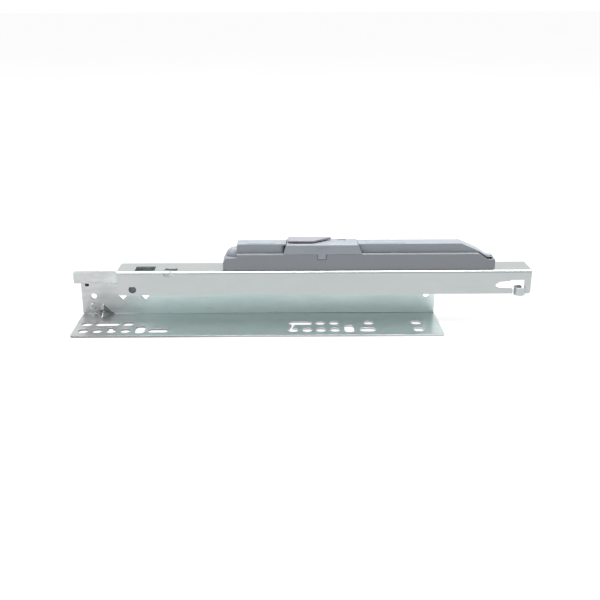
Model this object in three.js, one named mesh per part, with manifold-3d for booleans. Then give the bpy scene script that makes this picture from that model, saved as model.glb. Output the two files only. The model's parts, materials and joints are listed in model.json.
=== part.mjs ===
// Concealed (undermount) cabinet drawer slide, single extension, with a soft-close unit.
//
// The slide lies on its cabinet flange. +X runs from the drawer front to the cabinet's back,
// +Y from the flange's free edge to the carrying plate, +Z away from the cabinet side.
// The origin is the middle of the flange's mounting face. Lengths are in millimetres.
import * as THREE from 'three';
import { mergeVertices } from 'three/addons/utils/BufferGeometryUtils.js';
import Module from 'manifold-3d';

const wasm = await Module();
wasm.setup();

// ---- Driving dimensions -------------------------------------------------------------------

const GAP = 0.3; // clearance between neighbouring pieces
const PAST = 1; // how far a cutter runs past the surface it cuts

// Cabinet rail: one bent sheet with a flange, a plate, a shelf and a running leg.
const RAIL_LENGTH = 282;
const RAIL_SHEET = 1.5;
const RAIL_BENDS = [1.5, 1.5, 1]; // centre-line radii of its bends
const FLANGE_EDGE_Y = -24.4;
const PLATE_Y = 24; // the plate's front face
const SHELF_Z = 30.7; // the shelf's underside
const LEG_Y = 11.4; // the running leg's front face
const LEG_TOP = 40.9;
const LEG_LEAD = 2.3; // how far shelf and leg stand out in front of the plate
const FRONT_X = -RAIL_LENGTH / 2;
const REAR_X = RAIL_LENGTH / 2;
const SHELF_TOP = SHELF_Z + RAIL_SHEET;
const LEG_BACK_Y = LEG_Y + RAIL_SHEET;

// Screw slots of the flange, on the 32 mm cabinet system: a third of it is the slot pitch.
const SYSTEM = 32;
const SLOT_PITCH = SYSTEM / 3;
const FIRST_SLOT = 8; // from the rail's front end
const SLOT_ROW_Y = -13.6;
const SECOND_ROW_Y = 0.9;
const SLOT_WIDTH = 7.8; // across the rail
const SLOT_LENGTH = 7.4; // along the rail
const SLOT_RADIUS = 3.2;
const OVAL_Y = -11.4;
const OVAL_WIDTH = 14.6;

// Drawer rail: an inverted channel with a long front leg and a short back leg.
const CHANNEL_FRONT_X = -107.9;
const CHANNEL_REAR_X = 210.5;
const CHANNEL_SHEET = 1.2;
const CHANNEL_BENDS = [1.6, 1.2]; // centre-line radii
const FACE_Y = 2; // the face that carries the drawer bottom
const CHANNEL_BACK_Y = 26.8;
const WEB_TOP = 43.3;
const FRONT_LEG_END = 24.4;
const BACK_LEG_END = 33.5;
const WEB_UNDER = WEB_TOP - CHANNEL_SHEET;
const FACE_INNER_Y = FACE_Y + CHANNEL_SHEET;
const BACK_INNER_Y = CHANNEL_BACK_Y - CHANNEL_SHEET;

// Roller cage between the two rails.
const CAGE_FRONT_X = -12;
const CAGE_REAR_X = 84;
const CAGE_BOTTOM = SHELF_TOP + 0.4;
const CAGE_TOP = WEB_UNDER - GAP;
const CAGE_BACK_TOP = 38.6; // low, so that the catch's fork passes over it
const ROLLER_END_GAP = 0.2;
const AXLE_RADIUS = 1;
const AXLE_BORE = 1.15;
const LOAD_ROLLER_X = [-5.5, 6, 66, 77.5];
const KEEPER_ROLLER_X = [-3, 75];
const ROLLER_SIDE_GAP = 0.15;

// Pegs of the two rubber buffers, in the shelf.
const FRONT_PEG = [-134.4, 16.6];
const REAR_PEG = [89, 16.8];

// Soft-close unit on the channel's web.
const UNIT_FRONT_X = -26.4;
const UNIT_REAR_X = 182;
const UNIT_FACE_Y = 4.4;
const UNIT_BACK_Y = 21.9;
const UNIT_BOTTOM = WEB_TOP + 0.1;
const UNIT_WALL = 1.4;
const UNIT_DECK = 55.7; // top of the tray
const SEAT_GAP = 0.1; // between the tray and what is clipped onto it
const FRONT_STEP_X = -15.8;
const FRONT_STEP_Z = 53;
const REAR_STEP_X = 176;
const REAR_STEP_Z = 51.3;
const REAR_SLOPE_X = 170; // where the tray's rim starts to slope down
const COVER_FACE_Y = 9.2;
const COVER_WALL = 1.2;
const COVER_TOP = 62.8;
const CLIP_FRONT_X = 20.1;
const CLIP_REAR_X = 79.9;
const CLIP_FRONT_LEAN = 2.5; // how far the clip's ends lean inwards at the top
const CLIP_REAR_LEAN = 3.4;
const CLIP_TOP = 63.8;
const TRAY_FLOOR = UNIT_BOTTOM + COVER_WALL;
const TRAY_FRONT_Y = UNIT_FACE_Y + UNIT_WALL;
const TRAY_BACK_Y = UNIT_BACK_Y - UNIT_WALL;

// Damper, catch and springs inside the unit.
const CATCH_TRAVEL = 42;
const DAMPER_Y = (TRAY_FRONT_Y + TRAY_BACK_Y) / 2;
const DAMPER_Z = 49.4;
const DAMPER_RADIUS = 4.3;
const DAMPER_BORE = 3.4;
const DAMPER_FRONT_X = 21;
const DAMPER_REAR_X = 90;
const ROD_RADIUS = 1.1;
const CATCH_FRONT_X = 102;
const CATCH_REAR_X = 126;
const FORK_X = 114.5;
const FORK_Z = 48.2;
const FORK_Y = 16.55;
const FORK_WIDTH = 4.1;
const FORK_TIP = 39.6;
const FORK_REACH = 4.2; // half the fork's length along the slide
const STUD_TOP = 38.8;
const SPRING_Z = 57.6;
const SPRING_Y = [13.05, 18.05];
const SPRING_RADIUS = 2.2;
const FRONT_PIN_X = -9;
const REAR_PIN_X = 105;

// ---- Materials ----------------------------------------------------------------------------

/** A material from its colour, roughness and metalness. */
function finish(color, roughness, metalness) {
  return new THREE.MeshStandardMaterial({ color, roughness, metalness });
}

const zincRail = finish(0xa9b8b6, 0.42, 0.85);
const zincChannel = finish(0xc4c9c9, 0.45, 0.8);
const greyPlastic = finish(0x80858a, 0.55, 0);
const palePlastic = finish(0xc6c6cd, 0.5, 0);
const whitePlastic = finish(0xe4e4df, 0.45, 0);
const blackRubber = finish(0x26282a, 0.85, 0);
const brightSteel = finish(0xb8bcc0, 0.3, 0.95);
const darkPlastic = finish(0x4d5352, 0.6, 0);
const springSteel = finish(0x8d9196, 0.35, 0.95);
const aluminium = finish(0xaeb3b8, 0.35, 0.9);

// ---- Solids -------------------------------------------------------------------------------

/** A manifold solid from a closed three.js geometry. */
function solid(geometry) {
  geometry.deleteAttribute('normal');
  geometry.deleteAttribute('uv');
  const merged = mergeVertices(geometry, 1e-4);
  const triangles = new Uint32Array(merged.index.array);
  const vertices = new Float32Array(merged.attributes.position.array);
  return new wasm.Manifold(new wasm.Mesh({ numProp: 3, vertProperties: vertices, triVerts: triangles }));
}

/** A box from its lowest and highest corners. */
function block([x0, y0, z0], [x1, y1, z1]) {
  const geometry = new THREE.BoxGeometry(x1 - x0, y1 - y0, z1 - z0);
  geometry.translate((x0 + x1) / 2, (y0 + y1) / 2, (z0 + z1) / 2);
  return solid(geometry);
}

/** A shape from a list of [u, v] points. */
function outline(points) {
  return new THREE.Shape(points.map(([u, v]) => new THREE.Vector2(u, v)));
}

/** A shape in the plane across an axis, extruded from one place on the axis to another. */
function extrude(shape, axis, from, to, curveSegments = 6) {
  const depth = to - from;
  const geometry = new THREE.ExtrudeGeometry(shape, { depth, bevelEnabled: false, curveSegments });
  const place = new THREE.Matrix4();
  const x = new THREE.Vector3(1, 0, 0);
  const y = new THREE.Vector3(0, 1, 0);
  const z = new THREE.Vector3(0, 0, 1);
  if (axis === 'x') {
    place.makeBasis(y, z, x).setPosition(from, 0, 0); // shape in (Y, Z)
  } else if (axis === 'y') {
    place.makeBasis(x, z, y.clone().negate()).setPosition(0, to, 0); // shape in (X, Z)
  } else {
    place.makeTranslation(0, 0, from); // shape in (X, Y)
  }
  geometry.applyMatrix4(place);
  return solid(geometry);
}

/** A rectangle with round corners, from its centre and its sides. */
function roundedRectangle(u, v, width, height, radius) {
  const [u0, u1] = [u - width / 2, u + width / 2];
  const [v0, v1] = [v - height / 2, v + height / 2];
  const shape = new THREE.Shape();
  shape.moveTo(u0 + radius, v0);
  shape.absarc(u1 - radius, v0 + radius, radius, -Math.PI / 2, 0);
  shape.absarc(u1 - radius, v1 - radius, radius, 0, Math.PI / 2);
  shape.absarc(u0 + radius, v1 - radius, radius, Math.PI / 2, Math.PI);
  shape.absarc(u0 + radius, v0 + radius, radius, Math.PI, 1.5 * Math.PI);
  return shape;
}

/** A round rod along an axis; across holds the two other coordinates of its centre line. */
function rod(axis, radius, from, to, across, sides = 24) {
  const geometry = new THREE.CylinderGeometry(radius, radius, to - from, sides);
  const middle = (from + to) / 2;
  if (axis === 'x') {
    geometry.rotateZ(-Math.PI / 2);
    geometry.translate(middle, across[0], across[1]);
  } else if (axis === 'y') {
    geometry.translate(across[0], middle, across[1]);
  } else {
    geometry.rotateX(Math.PI / 2);
    geometry.translate(across[0], across[1], middle);
  }
  return solid(geometry);
}

/** The unit vector from one point to another. */
function direction([u0, v0], [u1, v1]) {
  const length = Math.hypot(u1 - u0, v1 - v0);
  return [(u1 - u0) / length, (v1 - v0) / length];
}

/** The outline of a bent sheet whose centre line turns at each inner corner. */
function bentSheet(corners, sheet, radii, steps = 5) {
  const left = [];
  const right = [];
  const add = (u, v, normal, offset) => {
    left.push([u + normal[0] * (offset + sheet / 2), v + normal[1] * (offset + sheet / 2)]);
    right.push([u + normal[0] * (offset - sheet / 2), v + normal[1] * (offset - sheet / 2)]);
  };
  corners.forEach((corner, i) => {
    const into = direction(corners[Math.max(i - 1, 0)], corners[Math.max(i, 1)]);
    const last = corners.length - 1;
    const normal = [-into[1], into[0]];
    if (i === 0 || i === last) {
      add(corner[0], corner[1], normal, 0);
      return;
    }
    const radius = radii[i - 1];
    const out = direction(corner, corners[i + 1]);
    const turn = Math.atan2(into[0] * out[1] - into[1] * out[0], into[0] * out[0] + into[1] * out[1]);
    const side = Math.sign(turn);
    const tangent = radius * Math.tan(Math.abs(turn) / 2);
    const centre = [
      corner[0] - into[0] * tangent + normal[0] * radius * side,
      corner[1] - into[1] * tangent + normal[1] * radius * side,
    ];
    for (let k = 0; k <= steps; k += 1) {
      const angle = (turn * k) / steps;
      const [c, s] = [Math.cos(angle), Math.sin(angle)];
      const turned = [normal[0] * c - normal[1] * s, normal[0] * s + normal[1] * c];
      add(centre[0], centre[1], turned, -side * radius);
    }
  });
  return outline([...left, ...right.reverse()]);
}

/** What is cut away to round a square corner, in (u, v), where signs point to the corner. */
function cornerCutter(u, v, radius, [signU, signV]) {
  const [cu, cv] = [u - signU * radius, v - signV * radius];
  const points = [[u + signU * PAST, v + signV * PAST], [cu, v + signV * PAST]];
  const steps = 4;
  for (let k = 0; k <= steps; k += 1) {
    const angle = (Math.PI / 2) * (1 - k / steps);
    points.push([cu + signU * radius * Math.cos(angle), cv + signV * radius * Math.sin(angle)]);
  }
  points.push([u + signU * PAST, cv]);
  return outline(signU * signV > 0 ? points : points.reverse());
}

/** The solid left when each cutter is taken away. */
function cut(body, cutters) {
  return cutters.reduce((rest, cutter) => rest.subtract(cutter), body);
}

/** The solid made by joining all the pieces. */
function join(pieces) {
  return pieces.reduce((sum, piece) => sum.add(piece));
}

/** A named mesh from a manifold solid. */
function part(name, body, material) {
  const mesh = body.getMesh();
  const geometry = new THREE.BufferGeometry();
  geometry.setAttribute('position', new THREE.BufferAttribute(mesh.vertProperties, 3));
  geometry.setIndex(new THREE.BufferAttribute(mesh.triVerts, 1));
  geometry.computeVertexNormals();
  const named = new THREE.Mesh(geometry, material);
  named.name = name;
  return named;
}

// ---- Cabinet rail -------------------------------------------------------------------------

/** The flange's screw slots: two groups with short, oval and long ones, and a pair at the rear. */
function flangeSlots() {
  const cutters = [];
  const slot = (distance, y, length, width) => {
    const shape = roundedRectangle(FRONT_X + distance, y, length, width, SLOT_RADIUS);
    cutters.push(extrude(shape, 'z', -PAST, RAIL_SHEET + PAST, 2));
  };
  const groups = [
    {
      first: FIRST_SLOT,
      secondRow: [[0, 8.4], [1.5 * SLOT_PITCH, 19], [3 * SLOT_PITCH, 8.4]],
      long: [57, 15],
    },
    {
      first: FIRST_SLOT + 5 * SYSTEM,
      secondRow: [[6, 18], [2 * SLOT_PITCH, SLOT_LENGTH], [3 * SLOT_PITCH, SLOT_LENGTH], [59, SLOT_LENGTH]],
      long: [57, 12],
    },
  ];
  for (const { first, secondRow, long } of groups) {
    for (let i = 0; i < 4; i += 1) {
      slot(first + i * SLOT_PITCH, SLOT_ROW_Y, SLOT_LENGTH, SLOT_WIDTH);
    }
    slot(first + 43, OVAL_Y, SLOT_LENGTH, OVAL_WIDTH);
    slot(first + long[0], SLOT_ROW_Y, long[1], SLOT_WIDTH);
    for (const [distance, length] of secondRow) {
      slot(first + distance, SECOND_ROW_Y, length, SLOT_WIDTH);
    }
  }
  const rearSlot = FIRST_SLOT + 8 * SYSTEM;
  slot(rearSlot, SLOT_ROW_Y, 8, SLOT_WIDTH);
  slot(rearSlot, SECOND_ROW_Y, 8, SLOT_WIDTH);
  return cutters;
}

/** The stiffening dart pressed into the bend between flange and plate. */
function dart(shift) {
  const ridge = FRONT_X + 16.8;
  const left = FRONT_X + 12.8;
  const right = FRONT_X + 26.2;
  const [y, z] = [PLATE_Y + 0.3, RAIL_SHEET - 0.3];
  const corners = [[ridge, y, z + 8.8], [ridge, y - 10.4, z], [left, y, z], [right, y, z]];
  const positions = corners.flatMap(([cx, cy, cz]) => [cx, cy + shift, cz - shift]);
  const geometry = new THREE.BufferGeometry();
  geometry.setAttribute('position', new THREE.Float32BufferAttribute(positions, 3));
  geometry.setIndex([0, 2, 1, 0, 1, 3, 0, 3, 2, 1, 2, 3]);
  return solid(geometry);
}

function cabinetRail() {
  const half = RAIL_SHEET / 2;
  const profile = bentSheet(
    [
      [FLANGE_EDGE_Y, half],
      [PLATE_Y + half, half],
      [PLATE_Y + half, SHELF_Z + half],
      [LEG_Y + half, SHELF_Z + half],
      [LEG_Y + half, LEG_TOP],
    ],
    RAIL_SHEET,
    RAIL_BENDS,
  );
  const leadX = FRONT_X - LEG_LEAD;
  const sheet = extrude(profile, 'x', leadX, REAR_X);
  const plateFront = [
    [leadX - PAST, FLANGE_EDGE_Y - PAST, -PAST],
    [FRONT_X, PLATE_Y + RAIL_SHEET + PAST, SHELF_Z - 0.8],
  ];
  const cutters = [
    block(...plateFront),
    extrude(cornerCutter(FRONT_X, FLANGE_EDGE_Y, 2.2, [-1, -1]), 'z', -PAST, RAIL_SHEET + PAST),
    extrude(cornerCutter(REAR_X, FLANGE_EDGE_Y, 2.2, [1, -1]), 'z', -PAST, RAIL_SHEET + PAST),
    extrude(cornerCutter(leadX, LEG_TOP, 1.8, [-1, 1]), 'y', LEG_Y - PAST, LEG_BACK_Y + PAST),
    extrude(cornerCutter(leadX, SHELF_Z, 1.2, [-1, -1]), 'y', LEG_Y - PAST, PLATE_Y + 3),
    ...flangeSlots(),
  ];
  // Holes of the plate, in one row: two round ones and two square ones that stand on a corner.
  const plateHoles = [
    { distance: 9.6, z: 16.3, radius: 2.3, sides: 20 },
    { distance: 32.6, z: 16.3, radius: 3.4, sides: 4 },
    { distance: 50.6, z: 16.3, radius: 3.4, sides: 4 },
    { distance: 275.2, z: 16.3, radius: 2.5, sides: 20 },
  ];
  for (const { distance, z, radius, sides } of plateHoles) {
    const from = PLATE_Y - PAST;
    const to = PLATE_Y + RAIL_SHEET + PAST;
    cutters.push(rod('y', radius, from, to, [FRONT_X + distance, z], sides));
  }
  // Relief that links the middle group's long slot with its first short slot.
  const relief = outline([[24, -12.6], [25.7, -12.6], [28.4, -1.9], [26.7, -1.9]]);
  cutters.push(extrude(relief, 'z', -PAST, RAIL_SHEET + PAST));
  // A small hole beside the front group's third short slot.
  const sideHole = roundedRectangle(FRONT_X + 28, -8.6, 4, 3.6, 1);
  cutters.push(extrude(sideHole, 'z', -PAST, RAIL_SHEET + PAST, 2));
  // Rivet holes of the shelf for the two buffers and the trigger stud.
  for (const [x, y] of [FRONT_PEG, REAR_PEG, [FORK_X, FORK_Y]]) {
    cutters.push(rod('z', 1.8, SHELF_Z - PAST, SHELF_TOP + PAST, [x, y], 16));
  }
  const dimple = rod('y', 2.4, PLATE_Y - 0.4, PLATE_Y + 0.4, [FRONT_X + 8.5, 7.7], 20);
  const pressed = join([cut(sheet, cutters), dimple, dart(0)]);
  return part('cabinet_rail', pressed.subtract(dart(RAIL_SHEET)), zincRail);
}

/** A rubber buffer on the shelf that stops the cage, with a peg through the shelf. */
function buffer(name, [x0, x1], top, pegCentre, pegBottom) {
  const [y0, y1] = [LEG_BACK_Y + 0.4, BACK_INNER_Y - 0.4];
  const shape = roundedRectangle((x0 + x1) / 2, (y0 + y1) / 2, x1 - x0, y1 - y0, 1.2);
  const head = extrude(shape, 'z', SHELF_TOP + GAP, top, 2);
  const peg = rod('z', 1.5, pegBottom, SHELF_TOP + 0.5, pegCentre, 16);
  return part(name, head.add(peg), blackRubber);
}

/** The stud on the shelf that the catch's fork picks up. */
function triggerStud() {
  const centre = [FORK_X, FORK_Y];
  const shank = rod('z', 2, SHELF_TOP + GAP, STUD_TOP, centre);
  const collar = rod('z', 3, SHELF_TOP + GAP, SHELF_TOP + 1.3, centre);
  const tail = rod('z', 1.5, SHELF_Z, SHELF_TOP + 0.5, centre, 16);
  return part('trigger_stud', join([shank, collar, tail]), brightSteel);
}

// ---- Roller cage --------------------------------------------------------------------------

const LOAD_ROLLER_Y = (FACE_INNER_Y + LEG_Y) / 2;
const LOAD_ROLLER_RADIUS = (LEG_Y - FACE_INNER_Y) / 2 - ROLLER_SIDE_GAP;
const LOAD_ROLLER_Z = [34.8, 39.8];
const KEEPER_ROLLER_Y = (LEG_BACK_Y + BACK_INNER_Y) / 2;
const KEEPER_ROLLER_RADIUS = (BACK_INNER_Y - LEG_BACK_Y) / 2 - ROLLER_SIDE_GAP;
const KEEPER_ROLLER_Z = [34.7, 37.4];

/** A roller with a bore and broken edges, turning about an upright axle. */
function roller(name, radius, [z0, z1], [x, y]) {
  const edge = 0.5;
  const profile = [
    [AXLE_BORE, z0],
    [radius - edge, z0],
    [radius, z0 + edge],
    [radius, z1 - edge],
    [radius - edge, z1],
    [AXLE_BORE, z1],
    [AXLE_BORE, z0],
  ].map(([r, z]) => new THREE.Vector2(r, z));
  const geometry = new THREE.LatheGeometry(profile, 28);
  geometry.rotateX(Math.PI / 2);
  // The turn about X sends the lathe's height to +Z and keeps the faces outwards.
  geometry.translate(x, y, 0);
  return part(name, solid(geometry), whitePlastic);
}

/** The opening of the cage that a roller sits in. */
function rollerPocket(x, radius, [z0, z1], [y0, y1]) {
  const half = radius + 0.3;
  return block([x - half, y0, z0 - ROLLER_END_GAP], [x + half, y1, z1 + ROLLER_END_GAP]);
}

function rollerCage() {
  const frontArmY = [FACE_INNER_Y + 0.4, LEG_Y - GAP];
  const backArmY = [LEG_BACK_Y + GAP, BACK_INNER_Y - 0.4];
  const bridgeBottom = LEG_TOP + GAP;
  const bridgeBackY = backArmY[0] + 0.9;
  const body = join([
    block([CAGE_FRONT_X, frontArmY[0], CAGE_BOTTOM], [CAGE_REAR_X, frontArmY[1], CAGE_TOP]),
    block([CAGE_FRONT_X, frontArmY[0], bridgeBottom], [CAGE_REAR_X, bridgeBackY, CAGE_TOP]),
    block([CAGE_FRONT_X, backArmY[0], CAGE_BOTTOM], [CAGE_REAR_X, bridgeBackY, CAGE_TOP]),
    block([CAGE_FRONT_X, backArmY[0], CAGE_BOTTOM], [CAGE_REAR_X, backArmY[1], CAGE_BACK_TOP]),
  ]);
  // Between the roller pairs each arm is only a thin strip along the running leg.
  const middle = [14, 58];
  const cutters = [
    block([middle[0], 0, CAGE_BOTTOM - PAST], [middle[1], frontArmY[1] - 2.2, CAGE_TOP + PAST]),
    block([middle[0], bridgeBackY + 0.6, CAGE_BOTTOM - PAST], [middle[1], 30, CAGE_TOP + PAST]),
  ];
  for (const x of LOAD_ROLLER_X) {
    const acrossArm = [frontArmY[0] - PAST, LEG_Y];
    cutters.push(rollerPocket(x, LOAD_ROLLER_RADIUS, LOAD_ROLLER_Z, acrossArm));
    cutters.push(rod('z', AXLE_BORE, CAGE_BOTTOM - PAST, CAGE_TOP + PAST, [x, LOAD_ROLLER_Y], 16));
  }
  for (const x of KEEPER_ROLLER_X) {
    const acrossArm = [LEG_BACK_Y, backArmY[1] + PAST];
    cutters.push(rollerPocket(x, KEEPER_ROLLER_RADIUS, KEEPER_ROLLER_Z, acrossArm));
    cutters.push(rod('z', AXLE_BORE, CAGE_BOTTOM - PAST, CAGE_BACK_TOP + PAST, [x, KEEPER_ROLLER_Y], 16));
  }
  return part('roller_cage', cut(body, cutters), greyPlastic);
}

/** The rollers and their axles, numbered from the front. */
function rollersAndAxles() {
  const pieces = [];
  LOAD_ROLLER_X.forEach((x, i) => {
    const centre = [x, LOAD_ROLLER_Y];
    pieces.push(roller(`load_roller_${i + 1}`, LOAD_ROLLER_RADIUS, LOAD_ROLLER_Z, centre));
    const axle = rod('z', AXLE_RADIUS, CAGE_BOTTOM + 0.2, CAGE_TOP - 0.2, centre, 16);
    pieces.push(part(`load_axle_${i + 1}`, axle, brightSteel));
  });
  KEEPER_ROLLER_X.forEach((x, i) => {
    const centre = [x, KEEPER_ROLLER_Y];
    pieces.push(roller(`keeper_roller_${i + 1}`, KEEPER_ROLLER_RADIUS, KEEPER_ROLLER_Z, centre));
    const axle = rod('z', AXLE_RADIUS, CAGE_BOTTOM + 0.2, CAGE_BACK_TOP - 0.1, centre, 16);
    pieces.push(part(`keeper_axle_${i + 1}`, axle, brightSteel));
  });
  return pieces;
}

// ---- Drawer rail --------------------------------------------------------------------------

const HOOK_X = 202;
const HOOK_BOTTOM = FRONT_LEG_END - 0.8;
const HOOK_TOP = 29.8;
const LOCK_HOLE = [-96.4, 29];
const RIVETS = [['housing_rivet_front', 4], ['housing_rivet_rear', 173]];
const RIVET_Y = 13.15;
const RIVET_HOLE = 2.2;
const FORK_SLOT = [
  [FORK_X - FORK_REACH - 2.6, FORK_Y - FORK_WIDTH / 2 - 0.5],
  [FORK_X + FORK_REACH + CATCH_TRAVEL + 2.6, FORK_Y + FORK_WIDTH / 2 + 0.5],
];

/** The rolled tab at the rear of the front leg that enters the drawer's back. */
function rearHook() {
  const sheet = CHANNEL_SHEET;
  const radius = 3.8;
  const centreY = FACE_Y + 0.9;
  const start = -0.15;
  const sweep = -5.3;
  const steps = 20;
  const outer = [];
  const inner = [];
  for (let k = 0; k <= steps; k += 1) {
    const angle = start + (sweep * k) / steps;
    const [c, s] = [Math.cos(angle), Math.sin(angle)];
    outer.push([HOOK_X + (radius + sheet / 2) * c, centreY + (radius + sheet / 2) * s]);
    inner.push([HOOK_X + (radius - sheet / 2) * c, centreY + (radius - sheet / 2) * s]);
  }
  const roll = extrude(outline([...inner, ...outer.reverse()]), 'z', HOOK_BOTTOM, HOOK_TOP);
  const rootX = HOOK_X + radius - sheet / 2;
  const root = block([rootX, FACE_Y, FRONT_LEG_END], [CHANNEL_REAR_X - 1, FACE_INNER_Y, HOOK_TOP]);
  return roll.add(root);
}

/** The pad inside the channel, behind the front leg's hole for the locking device. */
function lockPad() {
  const shape = roundedRectangle(LOCK_HOLE[0], LOCK_HOLE[1] + 0.4, 10, 8, 1.5);
  return part('lock_pad', extrude(shape, 'y', FACE_INNER_Y + 0.1, FACE_INNER_Y + 2.1, 3), darkPlastic);
}

function drawerRail() {
  const half = CHANNEL_SHEET / 2;
  const profile = bentSheet(
    [
      [FACE_Y + half, FRONT_LEG_END],
      [FACE_Y + half, WEB_TOP - half],
      [CHANNEL_BACK_Y - half, WEB_TOP - half],
      [CHANNEL_BACK_Y - half, BACK_LEG_END],
    ],
    CHANNEL_SHEET,
    CHANNEL_BENDS,
  );
  const channel = extrude(profile, 'x', CHANNEL_FRONT_X, CHANNEL_REAR_X);
  const throughFace = [FACE_Y - PAST, FACE_INNER_Y + PAST];
  const throughWeb = [WEB_UNDER - PAST, WEB_TOP + PAST];
  // The cut-out that the rear hook is rolled from.
  const hookCut = outline([
    [182.8, 31.4],
    [184.2, 30],
    [186.6, 28.8],
    [196.8, 28.6],
    [196.8, FRONT_LEG_END - PAST],
    [205.4, FRONT_LEG_END - PAST],
    [205.4, 35.5],
    [195.6, 35.4],
    [193.8, 34.6],
    [186.1, 33.9],
  ]);
  const [slotLow, slotHigh] = FORK_SLOT;
  const cutters = [
    extrude(hookCut, 'y', ...throughFace),
    extrude(cornerCutter(CHANNEL_FRONT_X, FRONT_LEG_END, 0.8, [-1, -1]), 'y', ...throughFace),
    extrude(cornerCutter(CHANNEL_REAR_X, FRONT_LEG_END, 2, [1, -1]), 'y', ...throughFace),
    extrude(cornerCutter(CHANNEL_FRONT_X, CHANNEL_BACK_Y, 4, [-1, 1]), 'z', BACK_LEG_END - 1, WEB_TOP + 1),
    // Holes for the front locking device: a large and a small one in the web, one in the leg.
    extrude(roundedRectangle(-86.9, 11, 15.3, 12.2, 1.2), 'z', ...throughWeb, 2),
    extrude(roundedRectangle(-66.7, 7.9, 9.8, 5, 0.8), 'z', ...throughWeb, 2),
    rod('z', 1.2, ...throughWeb, [-70.4, 10.2], 12),
    rod('z', 1.2, ...throughWeb, [-63, 10.2], 12),
    rod('y', 2.9, ...throughFace, LOCK_HOLE, 20).subtract(
      block([-100, FACE_Y - 2, 31.1], [-92, FACE_INNER_Y + 2, 33]),
    ),
    block([slotLow[0], slotLow[1], throughWeb[0]], [slotHigh[0], slotHigh[1], throughWeb[1]]),
  ];
  for (const [, x] of RIVETS) {
    cutters.push(rod('z', RIVET_HOLE, ...throughWeb, [x, RIVET_Y], 20));
  }
  return part('drawer_rail', cut(channel, cutters).add(rearHook()), zincChannel);
}

// ---- Soft-close unit ----------------------------------------------------------------------

/** What is cut away to bevel the unit's rear corner, moved inwards by an inset. */
function rearCorner(inset) {
  const [x, y] = [UNIT_REAR_X - inset, UNIT_BACK_Y - inset];
  const [bevel, past] = [6, 9];
  const corner = [[x, y - bevel], [x + past, y - bevel], [x + past, y + past], [x - bevel, y + past]];
  return extrude(outline([...corner, [x - bevel, y]]), 'z', UNIT_BOTTOM - PAST, COVER_TOP + PAST);
}

/** The lower tray of the unit, held down by two rivets. */
function housingBase() {
  const side = outline([
    [UNIT_FRONT_X, UNIT_BOTTOM],
    [UNIT_REAR_X, UNIT_BOTTOM],
    [UNIT_REAR_X, REAR_STEP_Z],
    [REAR_STEP_X, REAR_STEP_Z],
    [REAR_SLOPE_X, UNIT_DECK],
    [FRONT_STEP_X, UNIT_DECK],
    [FRONT_STEP_X, FRONT_STEP_Z],
    [UNIT_FRONT_X + 2, FRONT_STEP_Z],
    [UNIT_FRONT_X, FRONT_STEP_Z - 3.4],
  ]);
  const hollow = block(
    [UNIT_FRONT_X + UNIT_WALL, TRAY_FRONT_Y, TRAY_FLOOR],
    [UNIT_REAR_X - UNIT_WALL, TRAY_BACK_Y, UNIT_DECK + PAST],
  ).subtract(rearCorner(UNIT_WALL / Math.SQRT2));
  const ledgeBackY = COVER_FACE_Y - SEAT_GAP;
  const ledge = block(
    [FRONT_STEP_X, TRAY_FRONT_Y - 0.2, UNIT_DECK - COVER_WALL],
    [REAR_SLOPE_X - 0.5, ledgeBackY, UNIT_DECK],
  );
  const frontDeck = block(
    [UNIT_FRONT_X + UNIT_WALL - 0.2, TRAY_FRONT_Y - 0.2, FRONT_STEP_Z - COVER_WALL],
    [FRONT_STEP_X, TRAY_BACK_Y + 0.2, FRONT_STEP_Z],
  );
  // Ribs: one that the damper pushes against, and two saddles under it.
  const ribs = [DAMPER_FRONT_X - 3, DAMPER_FRONT_X + 9, DAMPER_REAR_X - 10].map((x, i) => {
    const top = i === 0 ? DAMPER_Z + 2 : DAMPER_Z - 1.2;
    return block([x, TRAY_FRONT_Y - 0.2, TRAY_FLOOR - 0.2], [x + 2.6, TRAY_BACK_Y + 0.2, top]);
  });
  const envelope = extrude(side, 'y', UNIT_FACE_Y, UNIT_BACK_Y).subtract(rearCorner(0));
  const body = join([envelope.subtract(hollow), ledge, frontDeck, ...ribs]).intersect(envelope);
  const [slotLow, slotHigh] = FORK_SLOT;
  const cutters = [
    rod('x', DAMPER_RADIUS + GAP, DAMPER_FRONT_X - 0.2, DAMPER_REAR_X, [DAMPER_Y, DAMPER_Z]),
    block([slotLow[0], slotLow[1], UNIT_BOTTOM - PAST], [slotHigh[0], slotHigh[1], TRAY_FLOOR + PAST]),
    block([45.9, UNIT_FACE_Y - PAST, 51.4], [52.7, TRAY_FRONT_Y + 0.1, UNIT_DECK + PAST]),
  ];
  for (const [, x] of RIVETS) {
    cutters.push(rod('z', RIVET_HOLE, UNIT_BOTTOM - PAST, TRAY_FLOOR + PAST, [x, RIVET_Y], 20));
  }
  return part('housing_base', cut(body, cutters), greyPlastic);
}

/** A cover shell: a side outline across the cover's width, less its hollow. */
function coverShell(side, hollowSide) {
  const outer = extrude(outline(side), 'y', COVER_FACE_Y, UNIT_BACK_Y);
  const inner = [COVER_FACE_Y + COVER_WALL, UNIT_BACK_Y - COVER_WALL];
  return outer.subtract(extrude(outline(hollowSide), 'y', ...inner));
}

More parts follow.
